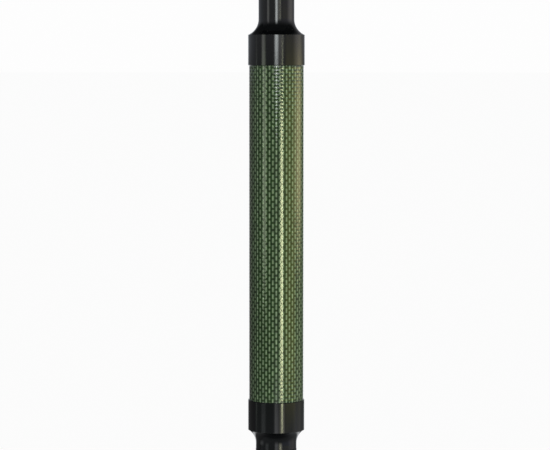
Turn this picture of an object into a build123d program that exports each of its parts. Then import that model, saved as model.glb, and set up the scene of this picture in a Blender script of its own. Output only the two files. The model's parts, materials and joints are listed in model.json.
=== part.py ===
from build123d import *
import os
from math import acos, cos, pi, sin, sqrt

# Compact telescoping prism pole for surveying, standing on its steel point.
# A woven composite tube is bonded between two turned fittings. Two round rods slide out of it, each
# held by a collet and a lock nut, and the upper rod carries the threaded stud for a prism.
# Millimetres. Origin at the tip of the point, +Z up the pole, +X towards the level vial.

# --- driving dimensions ---
SEAT_HEIGHT = 450.0  # tip to prism seat with both rods pushed in
TUBE_RADIUS = 16.0
TUBE_WALL = 2.0
TUBE_LENGTH = 196.0
COLLAR_RADIUS = 16.6
COLLAR_HEIGHT = 17.8
FLARE_RADIUS = 9.85  # concave arc between each collar and its neck
LOWER_NECK_RADIUS = 12.0
UPPER_NECK_RADIUS = 10.5
LOWER_NECK_LAND = 2.85
SPIGOT_LENGTH = 20.0
BOND_GAP = 0.2  # adhesive between spigot and tube
LOWER_ROD_RADIUS = 8.0
LOWER_ROD_WALL = 1.25
UPPER_ROD_RADIUS = 6.0
UPPER_ROD_WALL = 1.0
LOWER_TRAVEL = 142.0
UPPER_TRAVEL = 230.0
STUD_RADIUS = 7.94  # 5/8 inch
STUD_LENGTH = 18.0  # above the seat
RUNNING = 0.05  # radial clearance of sliding and turning fits
FACE_GAP = 0.2  # axial gap between faces that move apart
NUT_GAP = 1.2  # room above a lock nut for it to back off
BREAK = 0.3  # edge break on turned parts

# --- heights up the pole ---
FOOT_TOP = 86.0
LOWER_FLARE_START = FOOT_TOP + LOWER_NECK_LAND


def flare_sweep(neck_radius):
    """Angle that the concave arc turns through from the upright neck to the collar's rim."""
    return acos(1 - (COLLAR_RADIUS - neck_radius) / FLARE_RADIUS)


def flare_height(neck_radius):
    """Height of the concave arc."""
    return FLARE_RADIUS * sin(flare_sweep(neck_radius))


LOWER_COLLAR_BOTTOM = LOWER_FLARE_START + flare_height(LOWER_NECK_RADIUS)
TUBE_BOTTOM = LOWER_COLLAR_BOTTOM + COLLAR_HEIGHT
TUBE_TOP = TUBE_BOTTOM + TUBE_LENGTH
UPPER_COLLAR_TOP = TUBE_TOP + COLLAR_HEIGHT
NECK_START = UPPER_COLLAR_TOP + flare_height(UPPER_NECK_RADIUS)
BRACKET_BOTTOM = 355.0
BRACKET_HEIGHT = 11.0
LOWER_NUT_BOTTOM = BRACKET_BOTTOM + BRACKET_HEIGHT + NUT_GAP
NECK_TOP = LOWER_NUT_BOTTOM + 14.8
LOWER_NUT_TOP = NECK_TOP + 9.0
HEAD_BOTTOM = LOWER_NUT_TOP + NUT_GAP
HEAD_FLANGE = 4.8
HEAD_TOP = HEAD_BOTTOM + 14.8
UPPER_NUT_BOTTOM = HEAD_BOTTOM + HEAD_FLANGE + NUT_GAP
UPPER_NUT_TOP = HEAD_TOP + 6.8
ADAPTER_BOTTOM = UPPER_NUT_TOP + NUT_GAP
ADAPTER_TOP = SEAT_HEIGHT - 7.0

# --- the tube's inside ---
TUBE_BORE = TUBE_RADIUS - TUBE_WALL
SPIGOT_RADIUS = TUBE_BORE - BOND_GAP
LOWER_SPIGOT_TOP = TUBE_BOTTOM + SPIGOT_LENGTH
UPPER_SPIGOT_BOTTOM = TUBE_TOP - SPIGOT_LENGTH
WEB_BOTTOM = FOOT_TOP + 20.0  # solid web in the lower fitting, between foot socket and rod well
WEB_TOP = WEB_BOTTOM + 6.0
ROD_WELL_RADIUS = 10.5
GLIDE_LENGTH = 10.0
LOWER_GLIDE_BOTTOM = UPPER_SPIGOT_BOTTOM - LOWER_TRAVEL - GLIDE_LENGTH - 1.0
LOWER_ROD_BOTTOM = WEB_TOP + 3.4
LOWER_ROD_BORE = LOWER_ROD_RADIUS - LOWER_ROD_WALL
HEAD_SLEEVE_BOTTOM = HEAD_BOTTOM - 8.0  # the head's inner sleeve, which stops the upper rod
UPPER_GLIDE_TOP = HEAD_SLEEVE_BOTTOM - UPPER_TRAVEL - 0.5
UPPER_GLIDE_BOTTOM = UPPER_GLIDE_TOP - 11.4
UPPER_ROD_BORE = UPPER_ROD_RADIUS - UPPER_ROD_WALL

# --- steel point and foot ---
POINT_CONE = 22.0
HEX_ACROSS = 12.0
HEX_TOP = 30.0
POINT_SHANK_RADIUS = 4.0
WASHER_THICKNESS = 1.5
FOOT_BOTTOM = HEX_TOP + WASHER_THICKNESS
FOOT_RADIUS = LOWER_NECK_RADIUS + 0.1
FOOT_STUD_RADIUS = 7.95
FOOT_STUD_TOP = FOOT_TOP + 18.0
TOMMY_HOLE_RADIUS = 2.6
TOMMY_HOLE_Z = 74.0

# --- bull's-eye level and its clamp ---
BRACKET_RADIUS = 15.0
ARM_TOP = BRACKET_BOTTOM + 7.0
VIAL_X = 36.0
VIAL_CUP_RADIUS = 15.5
VIAL_CUP_BOTTOM = ARM_TOP + 1.4
VIAL_CUP_TOP = VIAL_CUP_BOTTOM + 15.0
VIAL_SCREW_CIRCLE = 10.0
CLAMP_X = -19.0
CLAMP_Z = BRACKET_BOTTOM + 5.5
EAR_HALF = 7.0
SPLIT = 1.6
KNOB_RADIUS = 7.0
CLAMP_SCREW_RADIUS = 2.45


def broken(points):
    """Outline points, with the corner cut back at each point that carries a third number."""
    outline = []
    for index, point in enumerate(points):
        corner = Vector(point[0], point[1])
        if len(point) == 2:
            outline.append(corner)
            continue
        before = Vector(*points[index - 1][:2])
        after = Vector(*points[(index + 1) % len(points)][:2])
        outline.append(corner + (before - corner).normalized() * point[2])
        outline.append(corner + (after - corner).normalized() * point[2])
    return outline


def turned(*points):
    """A solid of revolution about Z. Points are (radius, height) or (radius, height, edge break)."""
    outline = broken(points)
    face = make_face(Polyline(*outline, close=True))
    return revolve(Plane.XZ * face, Axis.Z)


def ring(inner, outer, bottom, top, edge=0.0):
    """A plain ring, with an edge break on its outer corners if asked."""
    corner = (edge,) if edge else ()
    return turned((inner, bottom), (outer, bottom, *corner), (outer, top, *corner), (inner, top))


def flare(neck_radius, neck_z, rim_z):
    """The solid between a neck and a collar's rim, bounded outside by the concave arc."""
    core = neck_radius - 1.2
    side = 1 if rim_z > neck_z else -1
    half = flare_sweep(neck_radius) / 2
    middle = (neck_radius + FLARE_RADIUS * (1 - cos(half)), neck_z + side * FLARE_RADIUS * sin(half))
    arc = ThreePointArc((neck_radius, neck_z), middle, (COLLAR_RADIUS, rim_z))
    sides = Polyline((COLLAR_RADIUS, rim_z), (core, rim_z), (core, neck_z), (neck_radius, neck_z))
    return revolve(Plane.XZ * make_face(arc + sides), Axis.Z)


def fluted(solid, radius, count, flute_radius, bottom, top):
    """Cuts round flutes along Z into a turned part's rim."""
    tool = Pos(0, 0, (bottom + top) / 2) * Cylinder(flute_radius, top - bottom)
    for place in PolarLocations(radius, count):
        solid -= place * tool
    return solid


# --- outer pole ---


def steel_point():
    """Hardened tip with a hexagon for a spanner and a threaded shank."""
    blank = turned(
        (0, 0), (0.5, 0), (HEX_ACROSS / 2, POINT_CONE), (7.0, POINT_CONE + 0.6),
        (7.0, HEX_TOP - 0.6), (6.4, HEX_TOP), (0, HEX_TOP),
    )
    hexagon = extrude(RegularPolygon(HEX_ACROSS / 2, 6, major_radius=False), HEX_TOP)
    shank_top = FOOT_BOTTOM + 16.0
    shank = turned(
        (0, HEX_TOP), (POINT_SHANK_RADIUS, HEX_TOP), (POINT_SHANK_RADIUS, shank_top, 0.8), (0, shank_top),
    )
    return (blank & hexagon) + shank


def point_washer():
    """Split spring washer under the foot."""
    washer = ring(POINT_SHANK_RADIUS + 0.15, 6.3, HEX_TOP, FOOT_BOTTOM, 0.2)
    return washer - Pos(5.2, 0, HEX_TOP + WASHER_THICKNESS / 2) * Rot(30, 0, 0) * Box(4, 0.8, 4)


def foot():
    """Tapered shoe that screws into the lower fitting, cross-drilled for a tommy bar."""
    bore = POINT_SHANK_RADIUS + RUNNING
    bore_top = FOOT_BOTTOM + 18.0
    taper_top = 62.0
    groove_z = taper_top + 3.0
    shoe = turned(
        (bore, FOOT_BOTTOM, BREAK), (7.0, FOOT_BOTTOM, 0.5), (FOOT_RADIUS, taper_top),
        (FOOT_RADIUS, groove_z), (FOOT_RADIUS - 0.6, groove_z + 0.6), (FOOT_RADIUS, groove_z + 1.2),
        (FOOT_RADIUS, FOOT_TOP, 0.15), (FOOT_STUD_RADIUS, FOOT_TOP),
        (FOOT_STUD_RADIUS, FOOT_STUD_TOP, 1.0), (0, FOOT_STUD_TOP), (0, bore_top), (bore, bore_top - 2.0),
    )
    return shoe - Pos(0, 0, TOMMY_HOLE_Z) * Rot(90, 0, 0) * Cylinder(TOMMY_HOLE_RADIUS, 40)


def foot_o_ring():
    """Seal round the foot's stud, in the fitting's counterbore."""
    section = 0.8
    return Pos(0, 0, FOOT_TOP + section + 0.05) * Torus(FOOT_STUD_RADIUS + section + 0.02, section)


def lower_fitting():
    """Neck, flare and collar below the tube, with a socket for the foot and a well for the rod."""
    collar = turned(
        (FOOT_STUD_RADIUS + 0.05, LOWER_COLLAR_BOTTOM), (COLLAR_RADIUS, LOWER_COLLAR_BOTTOM),
        (COLLAR_RADIUS, TUBE_BOTTOM, BREAK), (SPIGOT_RADIUS, TUBE_BOTTOM),
        (SPIGOT_RADIUS, LOWER_SPIGOT_TOP, 0.6), (ROD_WELL_RADIUS, LOWER_SPIGOT_TOP, BREAK),
        (ROD_WELL_RADIUS, WEB_TOP), (3.0, WEB_TOP), (3.0, WEB_BOTTOM), (FOOT_STUD_RADIUS + 0.05, WEB_BOTTOM),
    )
    counterbore = FOOT_STUD_RADIUS + 1.7
    neck = turned(
        (counterbore, FOOT_TOP), (LOWER_NECK_RADIUS, FOOT_TOP, 0.15),
        (LOWER_NECK_RADIUS, LOWER_COLLAR_BOTTOM),
        (FOOT_STUD_RADIUS + 0.05, LOWER_COLLAR_BOTTOM), (FOOT_STUD_RADIUS + 0.05, FOOT_TOP + 2.0),
        (counterbore, FOOT_TOP + 2.0),
    )
    return neck + flare(LOWER_NECK_RADIUS, LOWER_FLARE_START, LOWER_COLLAR_BOTTOM) + collar


def bond_line(bottom):
    """Adhesive between a spigot and the tube."""
    return ring(SPIGOT_RADIUS, TUBE_BORE, bottom, bottom + SPIGOT_LENGTH - 0.6)


def woven_tube():
    """Wound composite tube with a woven outer ply."""
    return ring(TUBE_BORE, TUBE_RADIUS, TUBE_BOTTOM, TUBE_TOP)


BUSH_BOTTOM = TUBE_TOP
BUSH_FLANGE_TOP = BUSH_BOTTOM + 1.5
BUSH_TOP = NECK_TOP - 18.0
BUSH_SEAT_RADIUS = 9.2
COLLET_SEAT_BOTTOM = NECK_TOP - 8.6
NECK_MOUTH_RADIUS = 9.6


def upper_fitting():
    """Spigot, collar, flare and threaded neck above the tube, bored for the bush and the collet."""
    clear = LOWER_ROD_RADIUS + 0.3
    collar = turned(
        (11.5, UPPER_SPIGOT_BOTTOM, BREAK), (SPIGOT_RADIUS, UPPER_SPIGOT_BOTTOM, 0.6),
        (SPIGOT_RADIUS, TUBE_TOP),
        (COLLAR_RADIUS, TUBE_TOP, BREAK), (COLLAR_RADIUS, UPPER_COLLAR_TOP),
        (BUSH_SEAT_RADIUS, UPPER_COLLAR_TOP), (BUSH_SEAT_RADIUS, BUSH_FLANGE_TOP), (11.5, BUSH_FLANGE_TOP),
    )
    neck = turned(
        (BUSH_SEAT_RADIUS, UPPER_COLLAR_TOP), (UPPER_NECK_RADIUS, UPPER_COLLAR_TOP),
        (UPPER_NECK_RADIUS, NECK_TOP, 0.5), (NECK_MOUTH_RADIUS, NECK_TOP), (clear, COLLET_SEAT_BOTTOM),
        (clear, BUSH_TOP + 0.5), (BUSH_SEAT_RADIUS, BUSH_TOP + 0.5),
    )
    return collar + flare(UPPER_NECK_RADIUS, NECK_START, UPPER_COLLAR_TOP) + neck


def guide_bush():
    """Flanged plastic sleeve that the lower rod slides in."""
    bore = LOWER_ROD_RADIUS + RUNNING
    outside = BUSH_SEAT_RADIUS - 0.02
    return turned(
        (bore, BUSH_BOTTOM, BREAK), (11.3, BUSH_BOTTOM, BREAK), (11.3, BUSH_FLANGE_TOP),
        (outside, BUSH_FLANGE_TOP), (outside, BUSH_TOP, BREAK), (bore, BUSH_TOP, BREAK),
    )


def collet(rod_radius, seat_bottom, mouth_radius, mouth_z, top):
    """Split plastic ring with a long lower taper and a short upper one, slotted from both ends."""
    bore = rod_radius + 0.06
    gap = 0.12
    blank = turned(
        (bore, seat_bottom + FACE_GAP), (rod_radius + 0.3 - gap + 0.03, seat_bottom + FACE_GAP),
        (mouth_radius - gap, mouth_z), (mouth_radius - gap, mouth_z + 2.4), (rod_radius + 0.8, top),
        (bore, top),
    )
    middle = (seat_bottom + top) / 2
    height = top - seat_bottom
    slot_count = 6
    for step in range(slot_count):
        through = step == 0
        up = 0 if through else (2.2 if step % 2 else -2.2)
        slot = Pos(rod_radius + 1, 0, middle + up) * Box(6, 0.8, height + (2 if through else -1))
        blank -= Rot(0, 0, step * 360 / slot_count) * slot
    return blank


LOWER_COLLET_TOP = LOWER_NUT_TOP - 3.5
UPPER_COLLET_SEAT = HEAD_TOP - 7.4
HEAD_MOUTH_RADIUS = 7.4
UPPER_COLLET_TOP = UPPER_NUT_TOP - 3.0


def thrust_washer(rod_radius, outer, bottom):
    """Slippery ring between the collet and the nut, so that the collet doesn't turn."""
    return ring(rod_radius + 0.25, outer, bottom, bottom + 0.9)


def lock_nut(rod_radius, thread_radius, outside, bottom, top, washer_top):
    """Fluted nut with a thread, a relief for the collet and a shoulder that presses the washer."""
    bore = thread_radius + 0.08
    nut = turned(
        (bore, bottom, 0.4), (outside, bottom, 1.0), (outside, top, 1.2), (rod_radius + 0.35, top, BREAK),
        (rod_radius + 0.35, washer_top + 0.1), (bore, washer_top + 0.1),
    )
    margin = 3.2
    flutes = round(2 * pi * outside / 3.6)
    return fluted(nut, outside + 0.75, flutes, 1.35, bottom + margin, top - margin)


# --- lower rod ---


def lower_glide():
    """Plastic ring on the lower rod that runs in the tube and stops the rod at full reach."""
    outside = TUBE_BORE - 0.08
    top = LOWER_GLIDE_BOTTOM + GLIDE_LENGTH
    glide = ring(LOWER_ROD_RADIUS + RUNNING, outside, LOWER_GLIDE_BOTTOM, top, 0.6)
    return fluted(glide, outside + 0.6, 6, 2.0, LOWER_GLIDE_BOTTOM - 1, top + 1)


CLIP_WIDTH = 0.9
CLIP_GROOVE_RADIUS = LOWER_ROD_RADIUS - 0.45


def clip_bottoms():
    """Heights of the two clips, just under and just over the glide."""
    return (LOWER_GLIDE_BOTTOM - 0.1 - CLIP_WIDTH, LOWER_GLIDE_BOTTOM + GLIDE_LENGTH + 0.1)


def glide_clips():
    """Two split rings that hold the glide on the rod."""
    clips = []
    for bottom in clip_bottoms():
        clip = ring(CLIP_GROOVE_RADIUS + 0.03, LOWER_ROD_RADIUS + 1.6, bottom, bottom + CLIP_WIDTH)
        clips.append(clip - Pos(0, -9, bottom + CLIP_WIDTH / 2) * Box(4, 8, 4))
    return Compound(children=clips)


def lower_rod_tube():
    """Lower rod, with a groove for each clip."""
    top = HEAD_BOTTOM + HEAD_FLANGE - 1.0
    tube = ring(LOWER_ROD_BORE, LOWER_ROD_RADIUS, LOWER_ROD_BOTTOM, top)
    for bottom in clip_bottoms():
        tube -= ring(CLIP_GROOVE_RADIUS, LOWER_ROD_RADIUS + 1, bottom - 0.02, bottom + CLIP_WIDTH + 0.02)
    return tube


def lower_rod_plug():
    """Turned plug in the rod's lower end."""
    inside = LOWER_ROD_BORE - 0.02
    return turned(
        (2.0, LOWER_ROD_BOTTOM - 1.2), (LOWER_ROD_RADIUS, LOWER_ROD_BOTTOM - 1.2, BREAK),
        (LOWER_ROD_RADIUS, LOWER_ROD_BOTTOM), (inside, LOWER_ROD_BOTTOM),
        (inside, LOWER_ROD_BOTTOM + 12.0, 0.5), (2.0, LOWER_ROD_BOTTOM + 12.0),
    )


def lower_rod_buffer():
    """Rubber button that lands on the web when the rod is pushed in."""
    bottom = WEB_TOP + 0.3
    face = LOWER_ROD_BOTTOM - 1.2
    return turned(
        (0, bottom), (7.4, bottom, 0.5), (7.4, face), (1.98, face), (1.98, LOWER_ROD_BOTTOM + 8.0, 0.4),
        (0, LOWER_ROD_BOTTOM + 8.0),
    )


def lower_rod_head():
    """Flanged head on the lower rod, threaded for the upper lock nut and bored for the upper rod."""
    flange_top = HEAD_BOTTOM + HEAD_FLANGE
    rod_top = flange_top - 1.0
    clear = UPPER_ROD_RADIUS + 0.3
    return turned(
        (LOWER_ROD_RADIUS + 0.02, HEAD_BOTTOM), (10.8, HEAD_BOTTOM, 0.5), (10.8, flange_top, 0.5),
        (9.0, flange_top), (9.0, HEAD_TOP, 0.5), (HEAD_MOUTH_RADIUS, HEAD_TOP), (clear, UPPER_COLLET_SEAT),
        (clear, HEAD_SLEEVE_BOTTOM), (LOWER_ROD_BORE - 0.02, HEAD_SLEEVE_BOTTOM),
        (LOWER_ROD_BORE - 0.02, rod_top), (LOWER_ROD_RADIUS + 0.02, rod_top),
    )


# --- upper rod ---


def upper_glide():
    """Plastic ring below the upper rod that runs in the lower rod and stops it at full reach."""
    return ring(4.55, LOWER_ROD_BORE - RUNNING, UPPER_GLIDE_BOTTOM, UPPER_GLIDE_TOP, 0.2)


def upper_rod_tube():
    """Upper rod, from the glide up into the adapter."""
    return ring(UPPER_ROD_BORE, UPPER_ROD_RADIUS, UPPER_GLIDE_TOP + FACE_GAP, ADAPTER_TOP - 7.0)


def upper_rod_plug():
    """Shouldered plug that holds the glide below the upper rod."""
    tube_bottom = UPPER_GLIDE_TOP + FACE_GAP
    return turned(
        (0, UPPER_GLIDE_BOTTOM - 2.2), (6.0, UPPER_GLIDE_BOTTOM - 2.2, 0.5), (6.0, UPPER_GLIDE_BOTTOM - 0.2),
        (4.5, UPPER_GLIDE_BOTTOM - 0.2), (4.5, tube_bottom), (UPPER_ROD_BORE - 0.02, tube_bottom),
        (UPPER_ROD_BORE - 0.02, tube_bottom + 12.0, 0.6), (0, tube_bottom + 12.0),
    )


SET_SCREW_Z = ADAPTER_BOTTOM + 5.0
ADAPTER_NECK_RADIUS = 9.0
ADAPTER_RADIUS = 12.7
STUD_SHANK_RADIUS = 5.0


def top_adapter():
    """Head that holds the prism stud on the upper rod, with a neck, a flare and a fluted grip."""
    bend = 5.0
    rise = sqrt(bend**2 - (bend - (ADAPTER_RADIUS - ADAPTER_NECK_RADIUS)) ** 2)
    neck_top = ADAPTER_BOTTOM + 8.5
    rim = neck_top + rise
    half = pi / 5
    arc = ThreePointArc(
        (ADAPTER_NECK_RADIUS, neck_top),
        (ADAPTER_NECK_RADIUS + bend - bend * cos(half), neck_top + bend * sin(half)),
        (ADAPTER_RADIUS, rim),
    )
    bore, socket = UPPER_ROD_RADIUS + 0.02, STUD_SHANK_RADIUS + 0.02
    rod_top = ADAPTER_TOP - 6.8
    sides = Polyline(
        (ADAPTER_RADIUS, rim), (ADAPTER_RADIUS, ADAPTER_TOP - 0.6), (ADAPTER_RADIUS - 0.6, ADAPTER_TOP),
        (socket, ADAPTER_TOP), (socket, rod_top), (bore, rod_top), (bore, ADAPTER_BOTTOM),
        (ADAPTER_NECK_RADIUS - 0.5, ADAPTER_BOTTOM), (ADAPTER_NECK_RADIUS, ADAPTER_BOTTOM + 0.5),
        (ADAPTER_NECK_RADIUS, neck_top),
    )
    head = revolve(Plane.XZ * make_face(arc + sides), Axis.Z)
    head = fluted(head, ADAPTER_RADIUS + 0.75, 24, 1.3, rim + 2.0, ADAPTER_TOP - 2.0)
    return head - Pos(8, 0, SET_SCREW_Z) * Rot(0, 90, 0) * Cylinder(2.03, 8)


def adapter_set_screw():
    """Grub screw that pins the adapter to the rod."""
    inner, outer = UPPER_ROD_RADIUS + 0.05, ADAPTER_NECK_RADIUS - 0.2
    length = outer - inner
    screw = Pos((inner + outer) / 2, 0, SET_SCREW_Z) * Rot(0, 90, 0) * Cylinder(2.0, length)
    key = extrude(RegularPolygon(1.0, 6, major_radius=False), 3)
    return screw - Pos(outer - 1.4, 0, SET_SCREW_Z) * Rot(0, 90, 0) * key


def prism_stud():
    """Steel stud with a 5/8 inch thread, drawn at its outside diameter, grooved at the seat."""
    top = SEAT_HEIGHT + STUD_LENGTH
    return turned(
        (0, ADAPTER_TOP - 6.4), (STUD_SHANK_RADIUS, ADAPTER_TOP - 6.4, 0.6),
        (STUD_SHANK_RADIUS, ADAPTER_TOP), (STUD_RADIUS, ADAPTER_TOP), (STUD_RADIUS, SEAT_HEIGHT - 0.6),
        (STUD_RADIUS - 0.4, SEAT_HEIGHT - 0.4), (STUD_RADIUS - 0.4, SEAT_HEIGHT - 0.2),
        (STUD_RADIUS, SEAT_HEIGHT), (STUD_RADIUS, top), (STUD_RADIUS - 1.2, top + 1.2), (0, top + 1.2),
    )


def prism_lock_ring():
    """Thin fluted nut on the stud, run up to lock the prism's heading."""
    bottom, top = ADAPTER_TOP + 0.1, SEAT_HEIGHT - 1.1
    nut = turned(
        (STUD_RADIUS + 0.06, bottom, BREAK), (ADAPTER_RADIUS, bottom, 0.5), (ADAPTER_RADIUS, top, 0.5),
        (STUD_RADIUS + 0.06, top, BREAK),
    )
    return fluted(nut, ADAPTER_RADIUS + 0.75, 36, 1.15, bottom - 1, top + 1)


def ring_washer():
    """Plastic washer between the lock ring and the prism."""
    return ring(STUD_RADIUS + 0.25, 12.2, SEAT_HEIGHT - 1.0, SEAT_HEIGHT, 0.15)


# --- level ---


def vial_screw_places():
    """Centres of the three levelling screws."""
    return [Pos(VIAL_X, 0, 0) * place for place in PolarLocations(VIAL_SCREW_CIRCLE, 3)]


def level_bracket():
    """Split clamp round the neck, with ears for the clamp screw and an arm for the vial."""
    middle = BRACKET_BOTTOM + BRACKET_HEIGHT / 2
    top = BRACKET_BOTTOM + BRACKET_HEIGHT
    bore = UPPER_NECK_RADIUS + RUNNING
    hoop = Pos(0, 0, middle) * Cylinder(BRACKET_RADIUS, BRACKET_HEIGHT)
    ears = Pos(-18, 0, CLAMP_Z) * Box(14, 2 * EAR_HALF, 9)
    ears = fillet(ears.edges().filter_by(Axis.Y).group_by(Axis.X)[0], 4.0)
    pad_radius = VIAL_CUP_RADIUS - 0.5
    arm = Polyline((6, -11), (VIAL_X, -pad_radius), (VIAL_X, pad_radius), (6, 11), close=True)
    plate = extrude(make_face(arm), ARM_TOP - BRACKET_BOTTOM)
    plate += Pos(VIAL_X, 0, (ARM_TOP - BRACKET_BOTTOM) / 2) * Cylinder(pad_radius, ARM_TOP - BRACKET_BOTTOM)
    bracket = hoop + ears + Pos(0, 0, BRACKET_BOTTOM) * plate
    bracket = chamfer(bracket.edges().filter_by(GeomType.CIRCLE).group_by(Axis.Z)[-1], 0.6)
    bracket -= Pos(0, 0, middle) * Cylinder(bore, BRACKET_HEIGHT + 2)
    bracket -= Pos(-18, 0, middle) * Box(18, SPLIT, BRACKET_HEIGHT + 2)
    bracket -= Pos(CLAMP_X, 0, CLAMP_Z) * Rot(90, 0, 0) * Cylinder(CLAMP_SCREW_RADIUS + 0.1, 30)
    for place in vial_screw_places():
        bracket -= place * Pos(0, 0, ARM_TOP) * Cylinder(1.6, 30)
        bracket -= place * Pos(0, 0, BRACKET_BOTTOM + 1.1) * Cylinder(2.6, 2.4)
    return bracket


def knob_washer():
    """Washer between the bracket's ear and the knob."""
    washer = ring(CLAMP_SCREW_RADIUS + 0.15, 5.4, 0, 1.0, 0.15)
    return Pos(CLAMP_X, EAR_HALF + 0.1, CLAMP_Z) * Rot(-90, 0, 0) * washer


KNOB_START = EAR_HALF + 1.3
KNOB_LENGTH = 11.0


def clamp_knob():
    """Five-lobed plastic knob with a blind bore for its screw."""
    hub = turned(
        (CLAMP_SCREW_RADIUS + 0.02, 0), (4.2, 0, 0.3), (4.2, 3.0), (KNOB_RADIUS, 3.0, 0.8),
        (KNOB_RADIUS, KNOB_LENGTH, 1.6), (0, KNOB_LENGTH), (0, 8.0), (CLAMP_SCREW_RADIUS + 0.02, 8.0),
    )
    knob = fluted(hub, KNOB_RADIUS + 1.9, 5, 2.9, 2.9, KNOB_LENGTH + 1)
    return Pos(CLAMP_X, KNOB_START, CLAMP_Z) * Rot(-90, 0, 0) * knob


def clamp_screw():
    """Steel screw moulded into the knob, which closes the bracket."""
    inner, outer = -EAR_HALF - 1.5, KNOB_START + 7.9
    length = outer - inner
    screw = turned((0, 0), (CLAMP_SCREW_RADIUS, 0, 0.5), (CLAMP_SCREW_RADIUS, length, 0.2), (0, length))
    return Pos(CLAMP_X, inner, CLAMP_Z) * Rot(-90, 0, 0) * screw


GLASS_RADIUS = 12.4
CAVITY_RADIUS = 9.6
GLASS_BOTTOM = VIAL_CUP_BOTTOM + 3.0
PLUG_TOP = GLASS_BOTTOM + 3.0
GLASS_SHOULDER = VIAL_CUP_TOP - 1.6
CAVITY_EDGE_Z = VIAL_CUP_TOP - 1.4
CAVITY_CROWN_Z = VIAL_CUP_TOP + 0.2
DOME_EDGE_Z = VIAL_CUP_TOP + 1.2
DOME_CROWN_Z = VIAL_CUP_TOP + 3.0
BUBBLE_RADIUS = 2.9
BUBBLE_DEPTH = 1.3


def vial_housing():
    """Cup for the vial, tapped underneath for the levelling screws."""
    inside = GLASS_RADIUS + 0.05
    cup = turned(
        (3.0, VIAL_CUP_BOTTOM), (VIAL_CUP_RADIUS, VIAL_CUP_BOTTOM, 0.8),
        (VIAL_CUP_RADIUS, VIAL_CUP_TOP, 0.8),
        (inside, VIAL_CUP_TOP, 0.2), (inside, GLASS_BOTTOM), (3.0, GLASS_BOTTOM),
    )
    for place in vial_screw_places():
        cup -= Pos(-VIAL_X, 0, VIAL_CUP_BOTTOM) * place * Cylinder(1.25, 5.2)
    return Pos(VIAL_X, 0, 0) * cup


def vial_cushion():
    """Rubber ring that the levelling screws pull the cup down on."""
    return Pos(VIAL_X, 0, 0) * ring(4.6, 7.8, ARM_TOP, VIAL_CUP_BOTTOM, 0.2)


def vial_screws():
    """Three levelling screws, heads sunk in the arm's underside."""
    head_bottom, head_top = BRACKET_BOTTOM + 0.3, BRACKET_BOTTOM + 2.2
    tip = VIAL_CUP_BOTTOM + 2.4
    screw = turned(
        (0, head_bottom + 1.0), (1.05, head_bottom + 1.0), (1.05, head_bottom), (2.3, head_bottom, 0.2),
        (2.3, head_top), (1.2, head_top), (1.2, tip, 0.2), (0, tip),
    )
    return Compound(children=[place * screw for place in vial_screw_places()])


def domed(radius, bottom, edge_z, crown_z):
    """A round block with a spherical top."""
    chord_rise = crown_z - edge_z
    sphere_radius = (radius**2 + chord_rise**2) / (2 * chord_rise)
    half_r = radius / 2
    half_z = crown_z - sphere_radius + sqrt(sphere_radius**2 - half_r**2)
    arc = ThreePointArc((radius, edge_z), (half_r, half_z), (0, crown_z))
    sides = Polyline((0, crown_z), (0, bottom), (radius, bottom), (radius, edge_z))
    return revolve(Plane.XZ * make_face(arc + sides), Axis.Z)


def vial_glass():
    """Clear block with a flat rim, a domed top and a domed cavity open below."""
    block = ring(0, GLASS_RADIUS, GLASS_BOTTOM, GLASS_SHOULDER)
    block += domed(10.6, GLASS_BOTTOM, DOME_EDGE_Z, DOME_CROWN_Z)
    return Pos(VIAL_X, 0, 0) * (block - domed(CAVITY_RADIUS, GLASS_BOTTOM, CAVITY_EDGE_Z, CAVITY_CROWN_Z))


def vial_plug():
    """Disc that seals the cavity."""
    return Pos(VIAL_X, 0, 0) * ring(0, CAVITY_RADIUS - 0.02, GLASS_BOTTOM, PLUG_TOP)


def vial_fluid():
    """Spirit in the cavity, with the bubble left out under the crown."""
    film = 0.03
    fluid = domed(CAVITY_RADIUS - film, PLUG_TOP + film, CAVITY_EDGE_Z - film, CAVITY_CROWN_Z - film)
    bubble = Pos(0, 0, CAVITY_CROWN_Z - film) * Sphere(BUBBLE_RADIUS)
    floor = Pos(0, 0, CAVITY_CROWN_Z - BUBBLE_DEPTH + 5) * Box(20, 20, 10)
    return Pos(VIAL_X, 0, 0) * (fluid - (bubble & floor))


def vial_bezel():
    """Retaining ring over the glass block's rim."""
    outer = GLASS_RADIUS
    return Pos(VIAL_X, 0, 0) * ring(10.7, outer, GLASS_SHOULDER, VIAL_CUP_TOP + 0.6, 0.3)


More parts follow.
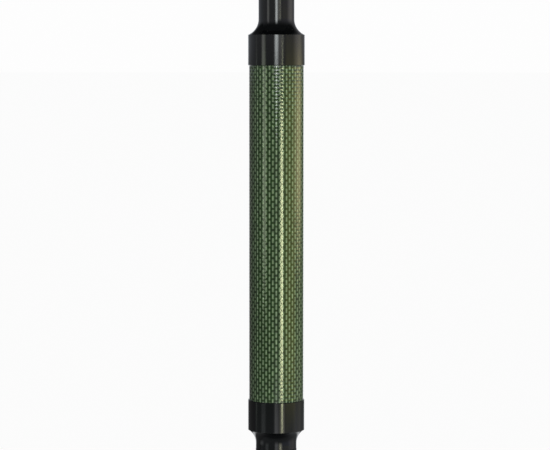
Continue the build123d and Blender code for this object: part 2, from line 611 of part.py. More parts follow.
PARTS = {
    "steel_point": steel_point,
    "point_washer": point_washer,
    "foot": foot,
    "foot_o_ring": foot_o_ring,
    "lower_fitting": lower_fitting,
    "lower_bond_line": lambda: bond_line(TUBE_BOTTOM),
    "woven_tube": woven_tube,
    "upper_bond_line": lambda: bond_line(UPPER_SPIGOT_BOTTOM + 0.6),
    "upper_fitting": upper_fitting,
    "guide_bush": guide_bush,
    "lower_collet": lambda: collet(
        LOWER_ROD_RADIUS, COLLET_SEAT_BOTTOM, NECK_MOUTH_RADIUS, NECK_TOP, LOWER_COLLET_TOP
    ),
    "lower_thrust_washer": lambda: thrust_washer(LOWER_ROD_RADIUS, 10.2, LOWER_COLLET_TOP + 0.1),
    "lower_lock_nut": lambda: lock_nut(
        LOWER_ROD_RADIUS, UPPER_NECK_RADIUS, 13.5, LOWER_NUT_BOTTOM, LOWER_NUT_TOP, LOWER_COLLET_TOP + 1.0
    ),
    "lower_glide": lower_glide,
    "glide_clips": glide_clips,
    "lower_rod_tube": lower_rod_tube,
    "lower_rod_plug": lower_rod_plug,
    "lower_rod_buffer": lower_rod_buffer,
    "lower_rod_head": lower_rod_head,
    "upper_collet": lambda: collet(
        UPPER_ROD_RADIUS, UPPER_COLLET_SEAT, HEAD_MOUTH_RADIUS, HEAD_TOP, UPPER_COLLET_TOP
    ),
    "upper_thrust_washer": lambda: thrust_washer(UPPER_ROD_RADIUS, 8.4, UPPER_COLLET_TOP + 0.1),
    "upper_lock_nut": lambda: lock_nut(
        UPPER_ROD_RADIUS, 9.0, 11.4, UPPER_NUT_BOTTOM, UPPER_NUT_TOP, UPPER_COLLET_TOP + 1.0
    ),
    "upper_glide": upper_glide,
    "upper_rod_tube": upper_rod_tube,
    "upper_rod_plug": upper_rod_plug,
    "top_adapter": top_adapter,
    "adapter_set_screw": adapter_set_screw,
    "prism_stud": prism_stud,
    "prism_lock_ring": prism_lock_ring,
    "ring_washer": ring_washer,
    "level_bracket": level_bracket,
    "knob_washer": knob_washer,
    "clamp_knob": clamp_knob,
    "clamp_screw": clamp_screw,
    "vial_housing": vial_housing,
    "vial_cushion": vial_cushion,
    "vial_screws": vial_screws,
    "vial_glass": vial_glass,
    "vial_plug": vial_plug,
    "vial_fluid": vial_fluid,
    "vial_bezel": vial_bezel,
}

os.makedirs("parts", exist_ok=True)
for name, make in PARTS.items():
    export_step(make(), f"parts/{name}.step")
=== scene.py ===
"""Looks of a telescoping prism pole: woven tube, black turned fittings, rods, level and steel point."""
import json
from math import cos, pi, radians, sin

import bpy
import numpy as np
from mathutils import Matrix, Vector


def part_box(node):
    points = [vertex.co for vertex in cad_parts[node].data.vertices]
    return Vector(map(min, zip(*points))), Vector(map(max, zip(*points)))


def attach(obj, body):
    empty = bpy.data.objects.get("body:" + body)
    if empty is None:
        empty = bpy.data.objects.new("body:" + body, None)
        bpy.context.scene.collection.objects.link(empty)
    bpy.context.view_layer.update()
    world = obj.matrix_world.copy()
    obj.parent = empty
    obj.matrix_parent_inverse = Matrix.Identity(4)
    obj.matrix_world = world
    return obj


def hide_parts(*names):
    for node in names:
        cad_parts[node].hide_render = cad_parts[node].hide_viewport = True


MM = 0.001
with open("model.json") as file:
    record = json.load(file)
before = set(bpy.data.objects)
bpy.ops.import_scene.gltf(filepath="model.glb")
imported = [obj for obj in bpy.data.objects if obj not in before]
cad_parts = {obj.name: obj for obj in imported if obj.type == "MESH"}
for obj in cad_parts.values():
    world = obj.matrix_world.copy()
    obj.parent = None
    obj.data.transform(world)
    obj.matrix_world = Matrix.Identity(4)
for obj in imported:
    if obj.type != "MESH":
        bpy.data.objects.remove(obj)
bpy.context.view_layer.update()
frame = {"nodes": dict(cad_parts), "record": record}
nodes = frame["nodes"]
scene = bpy.context.scene


# ---------------------------------------------------------------- nodes


def new_material(name):
    """A node material with a Principled shader; returns (material, node tree, shader)."""
    material = bpy.data.materials.new(name)
    material.use_nodes = True
    tree = material.node_tree
    return material, tree, tree.nodes["Principled BSDF"]


def set_values(shader, **values):
    """Sets constants on the shader's own sockets; a name's underscores stand for spaces."""
    for name, value in values.items():
        shader.inputs[name.replace("_", " ")].default_value = value


def add(tree, kind, **settings):
    """A node of that kind, with its properties and, for keys that start with in_, its input values."""
    node = tree.nodes.new(kind)
    for name, value in settings.items():
        if name.startswith("in_"):
            key = name[3:]
            node.inputs[int(key) if key.isdigit() else key.replace("_", " ")].default_value = value
        else:
            setattr(node, name, value)
    return node


def link(tree, source, target):
    tree.links.new(source, target)


def put(tree, value, socket):
    """Sets a number or tuple on the socket, or links another node's output to it."""
    if isinstance(value, (int, float, tuple)):
        socket.default_value = value
    else:
        link(tree, value, socket)


def math_node(tree, operation, *values):
    node = add(tree, "ShaderNodeMath", operation=operation)
    for index, value in enumerate(values):
        put(tree, value, node.inputs[index])
    return node.outputs["Value"]


def vector_node(tree, operation, first, second=None):
    node = add(tree, "ShaderNodeVectorMath", operation=operation)
    put(tree, first, node.inputs[0])
    if second is not None:
        put(tree, second, node.inputs["Scale" if operation == "SCALE" else 1])
    return node.outputs["Value" if operation == "DOT_PRODUCT" else "Vector"]


def object_point(tree, scale=(1.0, 1.0, 1.0)):
    """The point on the part in metres, scaled per axis."""
    where = add(tree, "ShaderNodeTexCoord")
    mapping = add(tree, "ShaderNodeMapping", in_Scale=scale)
    link(tree, where.outputs["Object"], mapping.inputs["Vector"])
    return mapping.outputs["Vector"]


def noise(tree, point, scale, detail, rough=0.55):
    node = add(tree, "ShaderNodeTexNoise", in_Scale=scale, in_Detail=detail, in_Roughness=rough)
    link(tree, point, node.inputs["Vector"])
    return node.outputs["Fac"]


NOISE_SPAN = (0.3, 0.7)  # where most of a noise texture's values lie


def ranged(tree, source, low, high, from_low, from_high, kind="LINEAR"):
    """The source mapped from one range to another, held at its ends."""
    node = add(tree, "ShaderNodeMapRange", interpolation_type=kind, in_1=from_low, in_2=from_high,
               in_3=low, in_4=high)
    link(tree, source, node.inputs["Value"])
    return node.outputs["Result"]


def ramp(tree, source, *stops):
    """A colour ramp; each stop is (position, (r, g, b))."""
    node = add(tree, "ShaderNodeValToRGB")
    band = node.color_ramp
    while len(band.elements) < len(stops):
        band.elements.new(0.5)
    for element, (position, colour) in zip(band.elements, stops):
        element.position = position
        element.color = (*colour, 1.0)
    link(tree, source, node.inputs["Fac"])
    return node.outputs["Color"]


def blend(tree, share, first, second):
    """Colour that goes from the first to the second as the share goes from 0 to 1."""
    mix = add(tree, "ShaderNodeMix", data_type="RGBA")
    link(tree, share, mix.inputs["Factor"])
    put(tree, first, mix.inputs[6])
    put(tree, second, mix.inputs[7])
    return mix.outputs[2]


def bump(tree, shader, height, distance, strength):
    node = add(tree, "ShaderNodeBump", in_Strength=strength, in_Distance=distance)
    link(tree, height, node.inputs["Height"])
    link(tree, node.outputs["Normal"], shader.inputs["Normal"])


def brighter(colour, factor):
    return tuple(min(1.0, c * factor) for c in colour)


# ---------------------------------------------------------------- metal and plastic

WAVE_LENGTH = 0.314  # one wave of the wave texture at scale 1
WEAR_REACH = 0.25 * MM  # how far wear spreads from an edge


def turning_lines(tree, pitch_mm):
    """Fine grooves round the Z axis, uneven like a lathe's feed marks."""
    point = object_point(tree, (8.0, 8.0, 1.0))
    lines = add(tree, "ShaderNodeTexWave", bands_direction="Z", wave_profile="SIN",
                in_Scale=WAVE_LENGTH / (pitch_mm * MM), in_Distortion=1.5, in_Detail=2.0, in_Detail_Scale=1.5)
    link(tree, point, lines.inputs["Vector"])
    return lines.outputs["Fac"]


def edge_wear(tree):
    """1 where two faces meet in an outer edge, 0 elsewhere, broken up by noise."""
    bevel = add(tree, "ShaderNodeBevel", samples=6, in_Radius=WEAR_REACH)
    geometry = add(tree, "ShaderNodeNewGeometry")
    facing = vector_node(tree, "DOT_PRODUCT", bevel.outputs["Normal"], geometry.outputs["Normal"])
    spots = noise(tree, object_point(tree), 900.0, 4.0, 0.65)
    worn = ranged(tree, facing, 1.0, 0.0, 0.86, 0.985)
    return math_node(tree, "MULTIPLY", worn, ranged(tree, spots, 0.0, 1.0, 0.45, 0.62))


def turned_metal(name, colour, worn_colour, rough, metallic, pitch_mm, groove_mm):
    """Turned metal with feed marks, cloudy roughness between two values, and worn edges."""
    material, tree, shader = new_material(name)
    cloud = noise(tree, object_point(tree, (1.0, 1.0, 0.35)), 160.0, 4.0)
    link(tree, ranged(tree, cloud, *rough, *NOISE_SPAN), shader.inputs["Roughness"])
    tint = ramp(tree, cloud, (0.3, colour), (0.75, brighter(colour, 1.25)))
    link(tree, blend(tree, edge_wear(tree), tint, (*worn_colour, 1.0)), shader.inputs["Base Color"])
    set_values(shader, Metallic=metallic)
    bump(tree, shader, turning_lines(tree, pitch_mm), groove_mm * MM, 0.6)
    return material


def moulded(name, colour, rough, grain_mm, depth_mm, subsurface=0.0):
    """Moulded plastic or rubber with a fine grain."""
    material, tree, shader = new_material(name)
    point = object_point(tree)
    grain = noise(tree, point, 1.0 / (grain_mm * MM), 3.0, 0.6)
    cloud = noise(tree, point, 90.0, 3.0)
    tint = ramp(tree, cloud, (0.3, colour), (0.7, brighter(colour, 1.18)))
    link(tree, tint, shader.inputs["Base Color"])
    link(tree, ranged(tree, cloud, rough - 0.06, rough + 0.06, *NOISE_SPAN), shader.inputs["Roughness"])
    set_values(shader, Subsurface_Weight=subsurface)
    bump(tree, shader, grain, depth_mm * MM, 0.7)
    return material


# ---------------------------------------------------------------- woven composite

TOWS_ROUND = 50
WEFT_SPACING = 1.015  # gap between weft tows over the gap between warp tows
TUBE_LOW, TUBE_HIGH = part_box("woven_tube")
WARP_PITCH = 2 * pi * TUBE_HIGH.x / TOWS_ROUND
CROSSINGS = round((TUBE_HIGH.z - TUBE_LOW.z) / (WARP_PITCH * WEFT_SPACING))
WEFT_PITCH = (TUBE_HIGH.z - TUBE_LOW.z) / CROSSINGS
COAT_SHARE = 0.6  # share of the tows' relief that shows in the coat
COAT_RELIEF = (1.0, 1.0, 0.4)  # how much of that relief each axis keeps

# On a warp tow's middle line, a painted highlight for the glint along its crown, and beside it the tow's own
# green; and the same two along the middle of a weft tow, the second darkened by painted shade where the weft
# dips under the warp, over the dark resin in the gaps
WARP_CROWN_HIGHLIGHT = (0.3552, 0.4662, 0.2886)
GREEN_TOW = (0.037, 0.08436, 0.02516)
MID_TOW = (0.03404, 0.06808, 0.01776)
WEFT_DIP_SHADE_AND_RESIN = (0.00296, 0.01776, 0.00074)


def coat_normal(tree):
    """Normal of the clear coat over the weave: round like the tube, with a share of the tows' relief."""
    where = add(tree, "ShaderNodeTexCoord")
    level = vector_node(tree, "MULTIPLY", where.outputs["Object"], (1.0, 1.0, 0.0))
    turned = add(tree, "ShaderNodeVectorTransform", vector_type="NORMAL", convert_from="OBJECT",
                 convert_to="WORLD")
    link(tree, level, turned.inputs["Vector"])
    unit = vector_node(tree, "NORMALIZE", turned.outputs["Vector"])
    geometry = add(tree, "ShaderNodeNewGeometry")
    relief = vector_node(tree, "MULTIPLY", geometry.outputs["Normal"], COAT_RELIEF)
    mix = add(tree, "ShaderNodeMix", data_type="VECTOR", in_Factor=COAT_SHARE)
    link(tree, unit, mix.inputs[4])
    link(tree, relief, mix.inputs[5])
    return vector_node(tree, "NORMALIZE", mix.outputs[1])


def across_tows(tree):
    """How far a point is from the middle of its warp tow and of its weft tow, 0 there and 1 at the edge."""
    where = add(tree, "ShaderNodeTexCoord")
    parts = add(tree, "ShaderNodeSeparateXYZ")
    link(tree, where.outputs["Object"], parts.inputs["Vector"])
    angle = math_node(tree, "ARCTAN2", parts.outputs["Y"], parts.outputs["X"])
    rise = math_node(tree, "SUBTRACT", parts.outputs["Z"], TUBE_LOW.z)
    warps = math_node(tree, "MULTIPLY", angle, TOWS_ROUND / (2 * pi))
    wefts = math_node(tree, "DIVIDE", rise, WEFT_PITCH)
    from_edges = [math_node(tree, "PINGPONG", count, 0.5) for count in (warps, wefts)]
    return [math_node(tree, "SUBTRACT", 1.0, math_node(tree, "MULTIPLY", away, 2.0)) for away in from_edges]


def tow(name, weft):
    """Resin-bound tow of fibres under a clear coat, with a painted highlight along the middle of the warp
    where it is on top, and painted shade where the weft dips under the warp.
    """
    material, tree, shader = new_material(name)
    along = (0.15, 0.15, 1.0) if weft else (1.0, 1.0, 0.08)
    strands = noise(tree, object_point(tree, along), 9000.0, 2.0, 0.5)
    cloud = noise(tree, object_point(tree), 330.0, 2.0)
    from_warp, from_weft = across_tows(tree)
    # Painted highlight: the warp is pale along its middle line, standing for the glint along its crown
    colour = ramp(tree, from_warp, (0.08, WARP_CROWN_HIGHLIGHT), (0.54, GREEN_TOW))
    if weft:
        cover = ranged(tree, from_weft, 0.0, 1.0, 0.45, 0.85, "SMOOTHSTEP")
        # Painted shade: the weft darkens towards its ends, where it dips under the warp, partly the dark
        # resin in the gaps
        under = ramp(tree, from_warp, (0.25, MID_TOW), (0.75, WEFT_DIP_SHADE_AND_RESIN))
        colour = blend(tree, cover, under, colour)
    fine = ranged(tree, strands, 0.75, 1.1, *NOISE_SPAN)
    coarse = ranged(tree, cloud, -0.3, 0.3, *NOISE_SPAN)
    shade = vector_node(tree, "SCALE", colour, math_node(tree, "ADD", fine, coarse))
    link(tree, shade, shader.inputs["Base Color"])
    link(tree, ranged(tree, strands, 0.45, 0.6, *NOISE_SPAN), shader.inputs["Roughness"])
    link(tree, coat_normal(tree), shader.inputs["Coat Normal"])
    set_values(shader, Specular_IOR_Level=0.15, Coat_Weight=1.0, Coat_Roughness=0.03, Coat_IOR=1.5)
    bump(tree, shader, strands, 0.01 * MM, 0.4)
    return material


# ---------------------------------------------------------------- clear parts


def clear(name, colour, density, ior):
    """Clear solid with faint surface marks and, if it has a density, a tint that deepens with thickness."""
    material, tree, shader = new_material(name)
    set_values(shader, Transmission_Weight=1.0, IOR=ior)
    shader.inputs["Base Color"].default_value = (*colour, 1.0)
    smear = noise(tree, object_point(tree), 300.0, 4.0, 0.6)
    link(tree, ranged(tree, smear, 0.0, 0.05, 0.5, 0.75), shader.inputs["Roughness"])
    if density:
        tint = add(tree, "ShaderNodeVolumeAbsorption", in_Density=density)
        tint.inputs["Color"].default_value = (*colour, 1.0)
        link(tree, tint.outputs["Volume"], tree.nodes["Material Output"].inputs["Volume"])
    return material


# ---------------------------------------------------------------- finishes

BLACK = turned_metal("black_anodised", (0.004, 0.0044, 0.005), (0.10, 0.105, 0.11), (0.07, 0.11), 0.0,
                     0.12, 0.0004)
STEEL = turned_metal("turned_steel", (0.42, 0.41, 0.40), (0.62, 0.61, 0.6), (0.18, 0.34), 1.0, 0.16, 0.004)
ROD = turned_metal("satin_anodised", (0.56, 0.57, 0.59), (0.7, 0.7, 0.7), (0.28, 0.38), 1.0, 0.2, 0.002)
PALE = moulded("pale_acetal", (0.62, 0.6, 0.54), 0.42, 0.12, 0.004, 0.1)
BLACK_PLASTIC = moulded("black_moulding", (0.016, 0.016, 0.018), 0.48, 0.16, 0.012)
RUBBER = moulded("rubber", (0.013, 0.013, 0.013), 0.72, 0.2, 0.012)
ADHESIVE = moulded("cured_adhesive", (0.3, 0.26, 0.15), 0.35, 0.5, 0.01)
WARP = tow("warp_tow", weft=False)
WEFT = tow("weft_tow", weft=True)
GLASS = clear("vial_glass_clear", (0.96, 0.98, 0.97), 0.0, 1.49)
SPIRIT = clear("vial_spirit_green", (0.6, 0.92, 0.1), 140.0, 1.36)

FINISHES = {
    "black_metal": BLACK,
    "steel": STEEL,
    "rod_metal": ROD,
    "pale_plastic": PALE,
    "black_plastic": BLACK_PLASTIC,
    "rubber": RUBBER,
    "adhesive": ADHESIVE,
    "woven_composite": WARP,
    "clear_glass": GLASS,
    "vial_spirit": SPIRIT,
}


def paint(obj, material):
    """Every material slot of the object gets this material."""
    if not obj.material_slots:
        obj.data.materials.append(material)
    for slot in obj.material_slots:
        slot.material = material


for entry in frame["record"]["subparts"]:
    paint(nodes[entry["node"]], FINISHES[entry["material_slot"]])


# ---------------------------------------------------------------- mesh helpers


def mesh_object(name, points, faces, material, body, smooth=True):
    """A mesh piece in the row frame that rides on a CAD body."""
    mesh = bpy.data.meshes.new(name)
    mesh.from_pydata(points, [], faces)
    mesh.materials.append(material)
    mesh.update()
    if smooth:
        mesh.shade_smooth()
    else:
        mesh.shade_flat()
    obj = bpy.data.objects.new(name, mesh)
    scene.collection.objects.link(obj)
    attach(obj, body)
    return obj


def round_grid(radii, heights, angle):
    """Points and quads of a surface round the Z axis, rows upwards; radii has a row of radii per height."""
    rows, columns = len(heights), len(angle)
    points = np.empty((rows, columns, 3))
    points[..., 0] = radii * np.cos(angle)
    points[..., 1] = radii * np.sin(angle)
    points[..., 2] = np.asarray(heights)[:, None]
    index = np.arange(rows * columns).reshape(rows, columns)
    right = np.roll(index, -1, axis=1)
    quads = np.stack([index[:-1], right[:-1], right[1:], index[1:]], axis=-1)
    return points.reshape(-1, 3), quads.reshape(-1, 4)


# ---------------------------------------------------------------- woven tube

TOW_STEPS = np.array([0.0, 0.14, 0.5, 0.86])  # where the rows of points lie across a tow
WEAVE_DEPTH = 0.06 * MM
TUBE_WALL = 2.0 * MM
NUDGE = 0.02  # step used to work out the weave's slope, as a share of a tow


def tow_height(u, v):
    """Height of the weave, 0 between tows and 1 on a crown, and whether the upright tow lies on top."""
    cell_u, cell_v = np.floor(u), np.floor(v)
    warp_over = (cell_u + cell_v) % 2 == 0
    from_mid_u = np.abs(2 * (u - cell_u) - 1)
    from_mid_v = np.abs(2 * (v - cell_v) - 1)
    across = np.where(warp_over, from_mid_u, from_mid_v)
    along = np.where(warp_over, from_mid_v, from_mid_u)
    return (1 - across**2) * (1 - along**4), warp_over


def woven_tube():
    """Tube with a plain weave of real height: at each crossing one tow lies over the other."""
    outer, inner = TUBE_HIGH.x, TUBE_HIGH.x - TUBE_WALL
    u = (np.arange(TOWS_ROUND)[:, None] + TOW_STEPS).reshape(-1)
    v = np.append((np.arange(CROSSINGS)[:, None] + TOW_STEPS).reshape(-1), CROSSINGS)
    columns, rows = len(u), len(v)
    u_all, v_all = np.meshgrid(u, v)
    crown, warp_over = tow_height(u_all, v_all)
    radii = outer - WEAVE_DEPTH * (1 - crown)
    heights = TUBE_LOW.z + WEFT_PITCH * v
    angle = u * 2 * pi / TOWS_ROUND
    points, quads = round_grid(radii, heights, angle)
    inside, inside_quads = round_grid(np.full((2, columns), inner), [TUBE_LOW.z, TUBE_HIGH.z], angle)
    start = len(points)
    inside_quads = inside_quads[:, ::-1] + start
    bottom, top = np.arange(columns), np.arange(columns) + (rows - 1) * columns
    inner_bottom, inner_top = start + np.arange(columns), start + columns + np.arange(columns)
    ends = [
        np.stack([inner_bottom, np.roll(inner_bottom, -1), np.roll(bottom, -1), bottom], axis=-1),
        np.stack([top, np.roll(top, -1), np.roll(inner_top, -1), inner_top], axis=-1),
    ]
    all_points = np.concatenate([points, inside])
    faces = np.concatenate([quads, inside_quads, *ends])
    obj = mesh_object("woven_tube_weave", all_points.tolist(), faces.tolist(), WARP, "pole")
    obj.data.materials.append(WEFT)
    kind = np.zeros(len(faces), np.int32)
    kind[: len(quads)] = np.where(warp_over[:-1].reshape(-1), 0, 1)
    obj.data.polygons.foreach_set("material_index", kind)

    # Normals worked out from the weave's slope, since the points are too far apart to show it.
    change_u = tow_height(u_all + NUDGE, v_all)[0] - tow_height(u_all - NUDGE, v_all)[0]
    change_v = tow_height(u_all, v_all + NUDGE)[0] - tow_height(u_all, v_all - NUDGE)[0]
    slope_u = change_u / (2 * NUDGE * WARP_PITCH)
    slope_v = change_v / (2 * NUDGE * WEFT_PITCH)
    normal = np.empty((rows, columns, 3))
    normal[..., 0] = np.cos(angle) + WEAVE_DEPTH * slope_u * np.sin(angle)
    normal[..., 1] = np.sin(angle) - WEAVE_DEPTH * slope_u * np.cos(angle)
    normal[..., 2] = -WEAVE_DEPTH * slope_v
    normal /= np.linalg.norm(normal, axis=-1, keepdims=True)
    corner_point = faces.reshape(-1)
    corner_normal = np.zeros((len(corner_point), 3))
    on_weave = np.arange(len(corner_point)) < quads.size
    corner_normal[on_weave] = normal.reshape(-1, 3)[corner_point[on_weave]]
    obj.data.normals_split_custom_set(corner_normal.tolist())
    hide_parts("woven_tube")


woven_tube()


# ---------------------------------------------------------------- prism stud

THREAD_PITCH = 25.4 / 11 * MM  # 11 threads to the inch
THREAD_DEPTH = 1.25 * MM
CREST = 0.12  # the flat crest, as a share of the pitch
FLANK = 0.66  # the two sloping flanks together, as a share of the pitch
SHANK_LENGTH = 6.4 * MM
SHANK_INSET = 2.94 * MM  # the plain shank's radius is smaller than the thread's by this
FADE_LENGTH = 1.2 * MM  # over which the thread deepens from its lower end
CHAMFER = 1.2 * MM
CLOSED_RADIUS = 0.0002 * MM  # stands in for a point on the axis
STUD_COLUMNS = 96
STUD_STEP = 0.1 * MM
SHARP_ANGLE = 35  # degrees


def threaded_stud():
    """The stud with its 5/8 inch by 11 thread cut as real geometry."""
    low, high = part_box("prism_stud")
    major = high.x
    thread_bottom = low.z + SHANK_LENGTH
    heights = np.arange(thread_bottom, high.z + STUD_STEP / 2, STUD_STEP)
    heights[-1] = high.z
    angle = np.arange(STUD_COLUMNS) * 2 * pi / STUD_COLUMNS
    phase = (heights[:, None] / THREAD_PITCH - angle[None, :] / (2 * pi)) % 1.0
    ridge = np.clip(np.abs(phase - 0.5) * 2, 0.0, 1.0)
    groove = np.clip((1 - ridge - CREST) / FLANK, 0.0, 1.0)
    fade = np.clip((heights - thread_bottom) / FADE_LENGTH, 0.0, 1.0)
    cone = major - np.clip(heights - (high.z - CHAMFER), 0.0, None)
    radii = np.minimum(major - THREAD_DEPTH * groove * fade[:, None], cone[:, None])
    closed = np.full(STUD_COLUMNS, CLOSED_RADIUS)
    shank = np.full(STUD_COLUMNS, major - SHANK_INSET)
    rows_r = [closed, shank, shank, *radii, closed]
    rows_z = [low.z, low.z, thread_bottom, *heights, high.z]
    points, quads = round_grid(np.array(rows_r), rows_z, angle)
    obj = mesh_object("prism_stud_thread", points.tolist(), quads.tolist(), STEEL, "upper_rod")
    obj.data.set_sharp_from_angle(angle=radians(SHARP_ANGLE))
    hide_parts("prism_stud")


threaded_stud()


# ---------------------------------------------------------------- rod graduations

# Strokes of each digit: a top, g middle and d bottom bar, b and c right, f and e left
SEGMENTS = {"0": "abcdef", "1": "bc", "2": "abged", "3": "abgcd", "4": "fgbc", "5": "afgcd", "6": "afgedc",
            "7": "abc", "8": "abcdefg", "9": "abfgcd"}
MARK_THICK = 0.02 * MM  # how far the ink stands proud
MARK_SUNK = 0.05 * MM  # how far it reaches into the rod
MARK_SPACING = 5 * MM
MARK_HALF_HEIGHT = 0.15 * MM
LONG_MARK = 4.2 * MM  # half the length of the mark at each centimetre
SHORT_MARK = 2.2 * MM  # half the length of the mark between
DIGIT_HEIGHT = 2.6 * MM
DIGIT_START = 5.2 * MM
DIGIT_ADVANCE = 0.72  # share of a digit's height from one digit to the next


def curved_box(radius, x0, x1, z0, z1):
    """A thin box wrapped on a rod's front, from x0 to x1 along the girth; returns points and faces."""
    count = max(2, int(abs(x1 - x0) / (0.5 * MM)) + 1)
    points, faces = [], []
    for k in range(count + 1):
        angle = (x0 + (x1 - x0) * k / count) / radius - pi / 2
        for r in (radius - MARK_SUNK, radius + MARK_THICK):
            for z in (z0, z1):
                points.append((r * cos(angle), r * sin(angle), z))
    for k in range(count):
        a, b = 4 * k, 4 * k + 4
        faces += [(a + 2, b + 2, b + 3, a + 3), (a + 1, b + 1, b, a)]
        faces += [(a, b, b + 2, a + 2), (a + 3, b + 3, b + 1, a + 1)]
    faces += [(0, 2, 3, 1), (4 * count + 1, 4 * count + 3, 4 * count + 2, 4 * count)]
    return points, faces


def digit_boxes(digit, x, z, height):
    """Strokes of a digit as (x0, x1, z0, z1), its lower left corner at x, z."""
    width, thick = height * 0.5, height * 0.13
    middle, top, right = z + height / 2, z + height, x + width
    strokes = {
        "a": (x, right, top - thick, top),
        "g": (x, right, middle - thick / 2, middle + thick / 2),
        "d": (x, right, z, z + thick),
        "b": (right - thick, right, middle, top),
        "c": (right - thick, right, z, middle),
        "f": (x, x + thick, middle, top),
        "e": (x, x + thick, z, middle),
    }
    return [strokes[s] for s in SEGMENTS[digit]]


def graduations(name, body, radius, top, length, first):
    """Centimetre scale on a rod, read at the top of its lock nut, with a number at each centimetre."""
    boxes = []
    for step in range(1, int(length / MARK_SPACING) + 1):
        z = top - step * MARK_SPACING
        whole = step % 2 == 0
        half = LONG_MARK if whole else SHORT_MARK
        boxes.append((-half, half, z - MARK_HALF_HEIGHT, z + MARK_HALF_HEIGHT))
        if whole:
            x = DIGIT_START
            for digit in str(first + step // 2):
                boxes += digit_boxes(digit, x, z - DIGIT_HEIGHT / 2, DIGIT_HEIGHT)
                x += DIGIT_HEIGHT * DIGIT_ADVANCE
    points, faces = [], []
    for box in boxes:
        more, quads = curved_box(radius, *box)
        faces += [tuple(i + len(points) for i in quad) for quad in quads]
        points += more
    mesh_object(name, points, faces, BLACK_PLASTIC, body, smooth=False)


LOWER_ROD_RADIUS = 8.0 * MM
UPPER_ROD_RADIUS = 6.0 * MM
HEAD_SLEEVE = 8.0 * MM  # how far the lower rod's head reaches into it
LOWER_SCALE_LENGTH = 142 * MM
UPPER_SCALE_LENGTH = 230 * MM
LOWER_SCALE_FIRST = 45  # the closed pole's height in centimetres

lower_scale_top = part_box("lower_rod_head")[0].z + HEAD_SLEEVE
graduations("lower_rod_scale", "lower_rod", LOWER_ROD_RADIUS, lower_scale_top, LOWER_SCALE_LENGTH,
            LOWER_SCALE_FIRST)
upper_scale_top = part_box("top_adapter")[0].z
graduations("upper_rod_scale", "upper_rod", UPPER_ROD_RADIUS, upper_scale_top, UPPER_SCALE_LENGTH, 0)


# ---------------------------------------------------------------- level circle

CIRCLE_RADIUS = 3.6 * MM
CIRCLE_THICK = 0.14 * MM
CIRCLE_DEPTH = 2.2 * MM  # below the top of the vial


def circle_mark():
    """Black circle printed under the vial's crown, which the bubble is centred in."""
    low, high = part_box("vial_glass")
    centre = (low + high) / 2
    bpy.ops.mesh.primitive_torus_add(major_radius=CIRCLE_RADIUS, minor_radius=CIRCLE_THICK, major_segments=96,
                                     minor_segments=10, location=(centre.x, centre.y, high.z - CIRCLE_DEPTH))
    obj = bpy.context.object
    obj.name = "vial_circle_mark"
    obj.data.materials.append(BLACK_PLASTIC)
    obj.data.shade_smooth()
    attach(obj, "bracket")


circle_mark()


# ---------------------------------------------------------------- floor

WHITE = (0.985, 0.985, 0.985, 1.0)
FLOOR_RADIUS = 30.0
FLOOR_DROP = 0.0003  # keeps the floor clear of the point that stands on it

floor_material, _, floor_shader = new_material("floor_white")
floor_shader.inputs["Base Color"].default_value = (0.03, 0.03, 0.03, 1.0)
floor_shader.inputs["Emission Color"].default_value = WHITE
set_values(floor_shader, Roughness=1.0, Specular_IOR_Level=0.0, Emission_Strength=0.98)
bpy.ops.mesh.primitive_circle_add(vertices=96, radius=FLOOR_RADIUS, fill_type="NGON",
                                  location=(0, 0, -FLOOR_DROP))
floor = bpy.context.object
floor.name = "floor"
floor.data.materials.append(floor_material)
floor.visible_glossy = False
floor.visible_diffuse = False
floor.visible_shadow = False


# ---------------------------------------------------------------- light

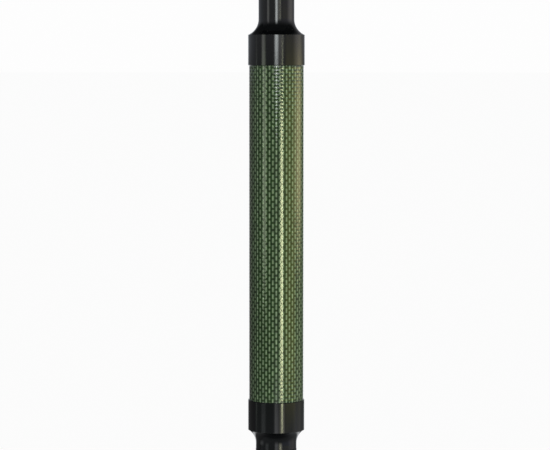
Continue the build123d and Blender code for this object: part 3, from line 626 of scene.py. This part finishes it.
# Surroundings that the gloss reflects: soft upright panels over a dim ground, in degrees. Azimuth 0 is in
# front of the pole (-Y) and 90 is to its right (+X); elevation 0 is level. The camera sees plain white.
# Seen from the camera, the upper collar mirrors what is above TOP, the weave what is between TOP and
# FOOT, and the lower collar what is below FOOT.
TOP = -0.40
FOOT = -8.75
CRISP = 0.3  # soft edge of a panel that stops at one of those
PANELS = (
    # azimuth, half width, soft edge; lowest, soft edge; highest, soft edge; radiance
    # broad dim panels under all the others, at each of the three heights
    (42.0, 138.0, 3.0, TOP, CRISP, 24.0, 20.0, (0.33, 0.33, 0.35)),
    (42.0, 138.0, 3.0, FOOT, CRISP, TOP, CRISP, (0.055, 0.08, 0.05)),
    (-138.0, 42.0, 3.0, TOP, CRISP, 18.0, 9.0, (0.33, 0.35, 0.38)),
    (-138.0, 50.0, 12.0, FOOT, CRISP, TOP, CRISP, (0.075, 0.065, 0.065)),
    (-120.0, 50.0, 12.0, -4.0, 3.0, TOP, CRISP, (0.07, 0.075, 0.07)),
    (42.0, 138.0, 3.0, -62.0, 14.0, FOOT, CRISP, (0.15, 0.16, 0.165)),
    (-138.0, 42.0, 3.0, -62.0, 14.0, FOOT, CRISP, (0.08, 0.08, 0.08)),
    # streaks in the upper collar and neck
    (0.5, 6.6, 4.8, TOP, CRISP, 22.5, 19.5, (8.4, 8.9, 8.9)),
    (20.0, 9.5, 4.0, TOP, CRISP, 9.0, 8.0, (1.2, 1.2, 1.1)),
    (-55.0, 5.5, 5.0, TOP, CRISP, 21.0, 12.0, (1.25, 1.23, 1.22)),
    (99.0, 18.0, 15.0, TOP, CRISP, 13.0, 12.0, (0.80, 0.77, 0.74)),
    (65.0, 28.0, 10.0, TOP, CRISP, 14.0, 12.0, (0.09, 0.08, 0.12)),
    # streaks in the weave
    (-1.5, 1.7, 1.0, -1.6, CRISP, TOP, CRISP, (2.4, 2.8, 2.5)),
    (-1.5, 1.5, 1.0, FOOT, CRISP, -1.6, CRISP, (1.3, 1.5, 1.2)),
    (-53.0, 8.0, 3.0, -5.7, 0.9, TOP, CRISP, (2.5, 2.85, 2.1)),
    (-88.0, 2.5, 1.5, FOOT, CRISP, TOP, CRISP, (0.7, 0.8, 0.7)),
    (24.0, 2.7, 1.3, FOOT, CRISP, -1.5, CRISP, (20.0, 21.0, 12.5)),
    (61.0, 24.0, 8.0, FOOT, CRISP, TOP, CRISP, (0.98, 0.92, 0.28)),
    (104.0, 17.0, 20.0, -4.6, 1.4, TOP, CRISP, (3.4, 3.0, 1.55)),
    (104.0, 17.0, 20.0, FOOT, CRISP, -4.6, 1.4, (0.4, 0.4, 0.26)),
    # streaks in the lower collar and neck
    (1.5, 8.5, 5.0, -30.0, 20.0, FOOT, CRISP, (1.15, 1.15, 1.2)),
    (24.0, 8.4, 6.0, -26.0, 14.0, FOOT, CRISP, (2.8, 2.72, 2.15)),
    (-54.0, 9.0, 5.0, -24.0, 12.0, FOOT, CRISP, (0.4, 0.43, 0.43)),
    (100.0, 20.0, 15.0, -34.0, 14.0, FOOT, CRISP, (0.34, 0.33, 0.33)),
    (62.0, 30.0, 10.0, -34.0, 14.0, FOOT, CRISP, (0.15, 0.16, 0.24)),
    # behind the pole, seen in its outer edges and from the other sides
    (180.0, 20.0, 8.0, -15.0, 4.0, 8.0, 6.0, (1.0, 1.02, 1.05)),
    (160.0, 7.0, 4.0, -34.0, 6.0, -14.0, 4.0, (0.9, 0.92, 0.95)),
    (-160.0, 7.0, 4.0, -34.0, 6.0, -14.0, 4.0, (1.2, 1.22, 1.25)),
    (-92.0, 11.0, 9.0, -32.0, 10.0, -14.0, 5.0, (0.42, 0.43, 0.44)),
)
DIM = (0.030, 0.031, 0.033)
# Azimuth, half width and soft edge of a sector whose light is held back from matt surfaces only, and the
# share held back. It keeps the weave's left side dark, and has no counterpart in a real room.
LEFT_SHADE = (-88.0, 48.0, 26.0, 0.9)


def build_sky(tree):
    """The panels and the dim ground as one background colour."""
    direction = add(tree, "ShaderNodeTexCoord")
    parts = add(tree, "ShaderNodeSeparateXYZ")
    link(tree, direction.outputs["Generated"], parts.inputs["Vector"])
    ahead = math_node(tree, "MULTIPLY", parts.outputs["Y"], -1.0)
    azimuth = math_node(tree, "DEGREES", math_node(tree, "ARCTAN2", parts.outputs["X"], ahead))
    elevation = math_node(tree, "DEGREES", math_node(tree, "ARCSINE", parts.outputs["Z"]))

    def step(source, edge, soft, before, after):
        """Goes smoothly from one value to another where the source passes the edge."""
        return ranged(tree, source, before, after, edge - soft, edge + soft, "SMOOTHSTEP")

    def near(centre, half, soft, most):
        """The most in a sector round the centre azimuth, and 0 outside its soft edges."""
        off = math_node(tree, "WRAP", math_node(tree, "SUBTRACT", azimuth, centre), 180.0, -180.0)
        return step(math_node(tree, "ABSOLUTE", off), half, soft, most, 0.0)

    total = DIM
    for centre, half, soft, low, low_soft, high, high_soft, colour in PANELS:
        across = near(centre, half, soft, 1.0)
        above = step(elevation, low, low_soft, 0.0, 1.0)
        below = step(elevation, high, high_soft, 1.0, 0.0)
        share = math_node(tree, "MULTIPLY", across, math_node(tree, "MULTIPLY", above, below))
        total = vector_node(tree, "ADD", total, vector_node(tree, "SCALE", colour, share))
    lamp = add(tree, "ShaderNodeLightPath")
    held = math_node(tree, "MULTIPLY", near(*LEFT_SHADE), lamp.outputs["Is Diffuse Ray"])
    return vector_node(tree, "SCALE", total, math_node(tree, "SUBTRACT", 1.0, held))


world = bpy.data.worlds.new("studio")
scene.world = world
world.use_nodes = True
sky = world.node_tree
background = sky.nodes["Background"]
link(sky, build_sky(sky), background.inputs["Color"])
seen = add(sky, "ShaderNodeBackground", in_Color=WHITE)
path = add(sky, "ShaderNodeLightPath")
choice = add(sky, "ShaderNodeMixShader")
link(sky, path.outputs["Is Camera Ray"], choice.inputs["Fac"])
link(sky, background.outputs["Background"], choice.inputs[1])
link(sky, seen.outputs["Background"], choice.inputs[2])
link(sky, choice.outputs["Shader"], sky.nodes["World Output"].inputs["Surface"])


# ---------------------------------------------------------------- camera

CAMERA_ASIDE = -0.00083
CAMERA_DISTANCE = 1.350
CAMERA_HEIGHT = 0.32085
LOOKS_DOWN = 4.367  # degrees
ROLL = -0.03  # degrees

camera_data = bpy.data.cameras.new("camera")
camera_data.sensor_width = 36.0
camera_data.lens = 151.3
camera_data.clip_start = 0.05
camera_data.clip_end = 100.0
camera = bpy.data.objects.new("camera", camera_data)
camera.location = (CAMERA_ASIDE, -CAMERA_DISTANCE, CAMERA_HEIGHT)
camera.rotation_euler = (radians(90 - LOOKS_DOWN), radians(ROLL), 0.0)
scene.collection.objects.link(camera)
scene.camera = camera
scene.view_settings.view_transform = "Standard"
scene.view_settings.look = "None"
